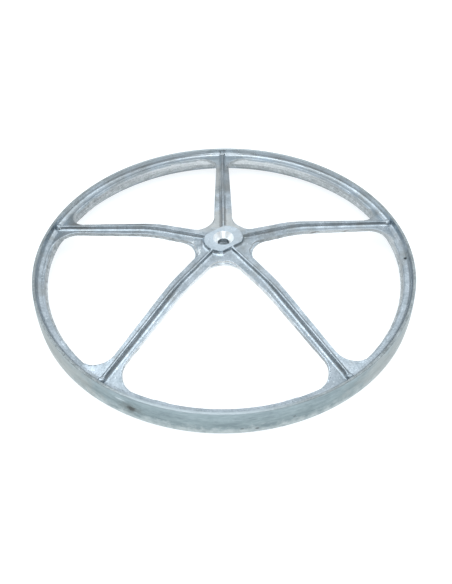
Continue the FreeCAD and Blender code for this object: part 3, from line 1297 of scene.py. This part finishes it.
@dataclass(frozen=True)
class BeltFace(Finish):
    """Turned belt face, dulled by the belt, with streaks round it and a lighter lower band of scuff
    marks and painted floor reflection.

    The streaks are drawn coarser than the turning marks of the real face, which the picture
    can't resolve.
    """

    name: str = "belt_worn_aluminium"
    dark: str = "#7b8a8e"
    light: str = "#9dacaf"
    patch: float = 11.0
    speckle: float = 2.2
    stretch: Triple = (2.0, 2.0, 0.3)
    spread: Pair = (0.33, 0.67)
    roughness: Pair = (0.38, 0.5)
    wave_depth: float = 0.06
    grain: float = 0.7
    # lower band, lighter towards the bottom: scuff marks and a painted reflection of the floor
    scuff_and_floor_sheen: str = "#c5cdcd"
    scuff_and_floor_sheen_fall: Pair = (8.0, 0.0)
    scuff_fray: float = 5.0
    scuff_and_floor_sheen_cover: float = 0.8
    # painted sheen: the band below the top edge painted lighter, where the crown tilts up to the
    # light
    shoulder: str = "#b3c1c8"
    painted_sheen_rise: Pair = (12.5, 18.5)
    painted_sheen_cover: float = 0.2
    marks: tuple[Mark, ...] = (
        # painted reflection: the belt face painted lighter and warmer to the left and to the right
        Mark((-118.0, -84.0, 10.0), (44.0, 74.0, 15.0), "#a9aaa5", 0.55, 0.5, 9.0),
        Mark((118.0, -84.0, 10.0), (44.0, 74.0, 15.0), "#aaaca9", 0.55, 0.5, 9.0),
        # smudge with its dark core, and the bright scratch above it
        Mark((-63.0, -130.6, 10.5), (11.0, 9.0, 6.0), "#666a67", 0.45, 0.5, 3.0),
        Mark((-61.6, -131.2, 10.5), (3.6, 3.4, 3.0), "#3a3935", 0.75, 0.4, 1.5),
        Mark((-69.0, -127.5, 16.0), (4.5, 4.0, 0.9), "#d5dde1", 0.6),
        # dark specks
        Mark((20.0, -143.6, 4.0), (1.6, 2.0, 1.0), "#565a5b", 0.8),
        Mark((10.0, -144.7, 5.0), (1.4, 2.0, 0.8), "#5d6061", 0.7),
        Mark((44.0, -138.1, 9.0), (1.5, 2.0, 1.0), "#5b5e5f", 0.7))

    def tint(self, tree: Tree, place: Socket, share: Socket) -> Socket:
        """Add the lighter lower band of scuff marks and painted floor reflection, with a frayed
        upper border, and the painted sheen of the shoulder.

        Args:
            tree: the material's node tree.
            place: the point on the piece.
            share: share of the light tone.

        Returns:
            The colour at each point.
        """
        bare = super().tint(tree, place, share)
        height = add_node(tree, "SeparateXYZ", {0: place}).outputs["Z"]
        torn = add_node(tree, "TexNoise", {"Vector": place, "Scale": per_metre(self.scuff_fray),
                                           "Detail": 5.0, "Roughness": 0.65})
        fray = self.scuff_fray * MM
        edge = add_node(tree, "MapRange", {"Value": torn.outputs["Fac"], "From Min": 0.3,
                                           "From Max": 0.7, "To Min": -fray, "To Max": fray})
        level = add_node(tree, "Math", {0: height, 1: edge.outputs[0]}, operation="ADD")
        low, high = ([z * MM for z in heights] for heights in (self.scuff_and_floor_sheen_fall, self.painted_sheen_rise))
        # lower band of scuff marks with painted floor reflection, then the painted sheen above it
        with_scuff_and_floor_sheen = lay_over(tree, bare, self.scuff_and_floor_sheen, level.outputs[0], low, self.scuff_and_floor_sheen_cover)
        return lay_over(tree, with_scuff_and_floor_sheen, self.shoulder, level.outputs[0], high, self.painted_sheen_cover)


@dataclass(frozen=True)
class WallEdge(Finish):
    """Turned upper edge of the rim's wall: dull and oxidised, with painted highlights at the front
    and at the rear.
    """

    name: str = "oxidised_aluminium_edge"
    dark: str = "#838a8c"
    light: str = "#a0a8ab"
    patch: float = 6.0
    spread: Pair = (0.38, 0.62)
    roughness: Pair = (0.45, 0.6)
    wave_depth: float = 0.05
    marks: tuple[Mark, ...] = (
        # painted highlights: stretches of the edge painted bright at the front and at the rear
        Mark((-26.0, -143.0, 21.0), (74.0, 28.0, 8.0), "#b4bfc4", 0.9, 0.35, 6.0),
        Mark((0.0, 146.0, 21.0), (120.0, 60.0, 8.0), "#aab4b8", 0.9, 0.4, 6.0))


@dataclass(frozen=True)
class TrimmedEdge(Finish):
    """Edge from which the flash was sheared: torn, matt and warm grey, with painted highlights in
    places.
    """

    name: str = "trimmed_aluminium"
    dark: str = "#92989a"
    light: str = "#bdc2c4"
    patch: float = 4.0
    speckle: float = 1.2
    roughness: Pair = (0.5, 0.7)
    metallic: float = 0.55
    wave: float = 3.0
    wave_depth: float = 0.1
    grain: float = 0.8
    grain_depth: float = 0.06
    marks: tuple[Mark, ...] = (
        # painted highlights, near white: rear lip, walls of the front window and near side of the
        # right spoke
        Mark((0.0, 132.0, 13.4), (112.0, 66.0, 2.2), "#f2f5f6", 0.65, 0.45, 4.0),
        Mark((-24.0, -62.0, 26.0), (76.0, 70.0, 30.0), "#f6f9fa", 0.95, 0.3, 5.0),
        Mark((92.0, 18.0, 22.0), (60.0, 18.0, 20.0), "#e6eaeb", 0.6, 0.4, 4.0),
        # brown spots of old oil
        Mark((-117.0, 66.0, 7.6), (10.0, 10.0, 1.6), "#54504a", 0.7),
        Mark((-94.0, -97.0, 11.0), (4.0, 4.0, 2.0), "#6d5f52", 0.6),
        Mark((70.0, 14.5, 31.0), (8.0, 4.0, 1.2), "#5b4f44", 0.6),
        Mark((96.0, 23.5, 24.0), (3.5, 4.0, 1.2), "#6a6055", 0.5))


@dataclass(frozen=True)
class BoredMetal(Finish):
    """Freshly bored aluminium of the countersink: bright and even.

    Its turning marks show as faint bands round the hole, drawn coarser than they are.
    """

    name: str = "bored_aluminium"
    dark: str = "#e6ecef"
    light: str = "#fafcfd"
    patch: float = 2.0
    speckle: float = 0.6
    stretch: Triple = (1.0, 1.0, 0.5)
    roughness: Pair = (0.36, 0.46)
    metallic: float = 0.7
    wave_depth: float = 0.02
    grain_depth: float = 0.02


class Skin(Enum):
    """The finish of each kind of surface on the casting."""

    CAST = CastSkin()
    BELT = BeltFace()
    EDGE = WallEdge()
    TRIMMED = TrimmedEdge()
    BORED = BoredMetal()

    def material(self) -> bpy.types.Material:
        """The finish's material, made when it is first asked for."""
        return bpy.data.materials.get(self.value.name) or self.value.build()


@dataclass(frozen=True)
class Softbox:
    """A square soft light that looks at the pulley."""

    name: str
    place: Triple
    size: float
    watts: float
    colour: str = "#f6fbff"

    def hang(self) -> None:
        """Put the light in the scene."""
        data = bpy.data.lights.new(self.name, "AREA")
        data.size, data.energy, data.color = self.size, self.watts, linear(self.colour)[:3]
        light = bpy.data.objects.new(self.name, data)
        light.location = self.place
        light.rotation_euler = (-Vector(self.place)).to_track_quat("-Z", "Y").to_euler()
        bpy.context.scene.collection.objects.link(light)


@dataclass(frozen=True)
class Studio:
    """Camera, soft light and a pale floor that is lit a little from below, as a light table is."""

    eye: Triple = (-0.00009, -0.41288, 0.40485)
    target: Triple = (0.00132, -0.01630, 0.0)
    roll: float = -0.732
    lens: float = 45.43
    sensor: float = 36.0
    clip: Pair = (0.01, 50.0)
    floor_size: float = 6.0
    floor_drop: float = 0.0002
    floor_colour: str = "#999da0"
    floor_glow: float = 0.86
    floor_roughness: float = 0.9
    floor_specular: float = 0.1
    world_colour: str = "#f8fbfd"
    world_strength: float = 0.5
    lights: tuple[Softbox, ...] = (
        Softbox("overhead", (-0.1, -0.1, 1.4), 0.86, 6.8),
        Softbox("behind", (0.24, 1.75, 1.42), 2.1, 12.2),
        Softbox("behind_left", (-0.85, 1.05, 2.1), 0.9, 0.3),
        Softbox("left", (-1.2, 0.4, 1.1), 1.3, 11.0),
        Softbox("right", (1.2, 0.4, 1.1), 1.3, 8.6),
        Softbox("front", (0.0, -1.5, 0.95), 0.6, 5.2))

    def place_camera(self) -> None:
        """Put the camera where the photograph was taken from."""
        data = bpy.data.cameras.new("camera")
        data.lens, data.sensor_width, data.sensor_fit = self.lens, self.sensor, "AUTO"
        data.clip_start, data.clip_end = self.clip
        camera = bpy.data.objects.new("camera", data)
        bpy.context.scene.collection.objects.link(camera)
        eye = Vector(self.eye)
        aim = (Vector(self.target) - eye).to_track_quat("-Z", "Y").to_matrix().to_4x4()
        camera.matrix_world = Matrix.Translation(eye) @ aim @ about_z(self.roll)
        bpy.context.scene.camera = camera

    def lay_floor(self) -> None:
        """Lay the pale floor just under the pulley."""
        deselect()
        bpy.ops.mesh.primitive_plane_add(size=self.floor_size, location=(0, 0, -self.floor_drop))
        floor = bpy.context.object
        floor.name = "floor"
        material = bpy.data.materials.new("pale_floor")
        material.use_nodes = True
        shader = material.node_tree.nodes["Principled BSDF"]
        for name, value in (("Base Color", linear(self.floor_colour)),
                            ("Roughness", self.floor_roughness),
                            ("Specular IOR Level", self.floor_specular),
                            ("Emission Color", linear(self.world_colour)),
                            ("Emission Strength", self.floor_glow)):
            shader.inputs[name].default_value = value
        floor.data.materials.append(material)

    def build(self) -> None:
        """Set up the whole studio."""
        self.place_camera()
        self.lay_floor()
        world = bpy.data.worlds.new("studio")
        world.use_nodes = True
        back = world.node_tree.nodes["Background"]
        back.inputs["Color"].default_value = linear(self.world_colour)
        back.inputs["Strength"].default_value = self.world_strength
        bpy.context.scene.world = world
        for light in self.lights:
            light.hang()
        bpy.context.scene.view_settings.view_transform = "Standard"


def main() -> None:
    """Build and dress the pulley, then set up its studio."""
    logging.basicConfig(level=logging.INFO)
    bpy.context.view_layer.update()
    web, window, rib = Web(), Window(), Rib()
    pieces = Spokes(web, window, rib).build()
    pieces.append(RimFlange(web, window, rib).build())
    pieces.append(BeltWall(web).build())
    pieces.append(Hub(web, window, rib).build())
    LOG.info("%d pieces in all", len(pieces))
    Studio().build()


if __name__ == "__main__":
    main()
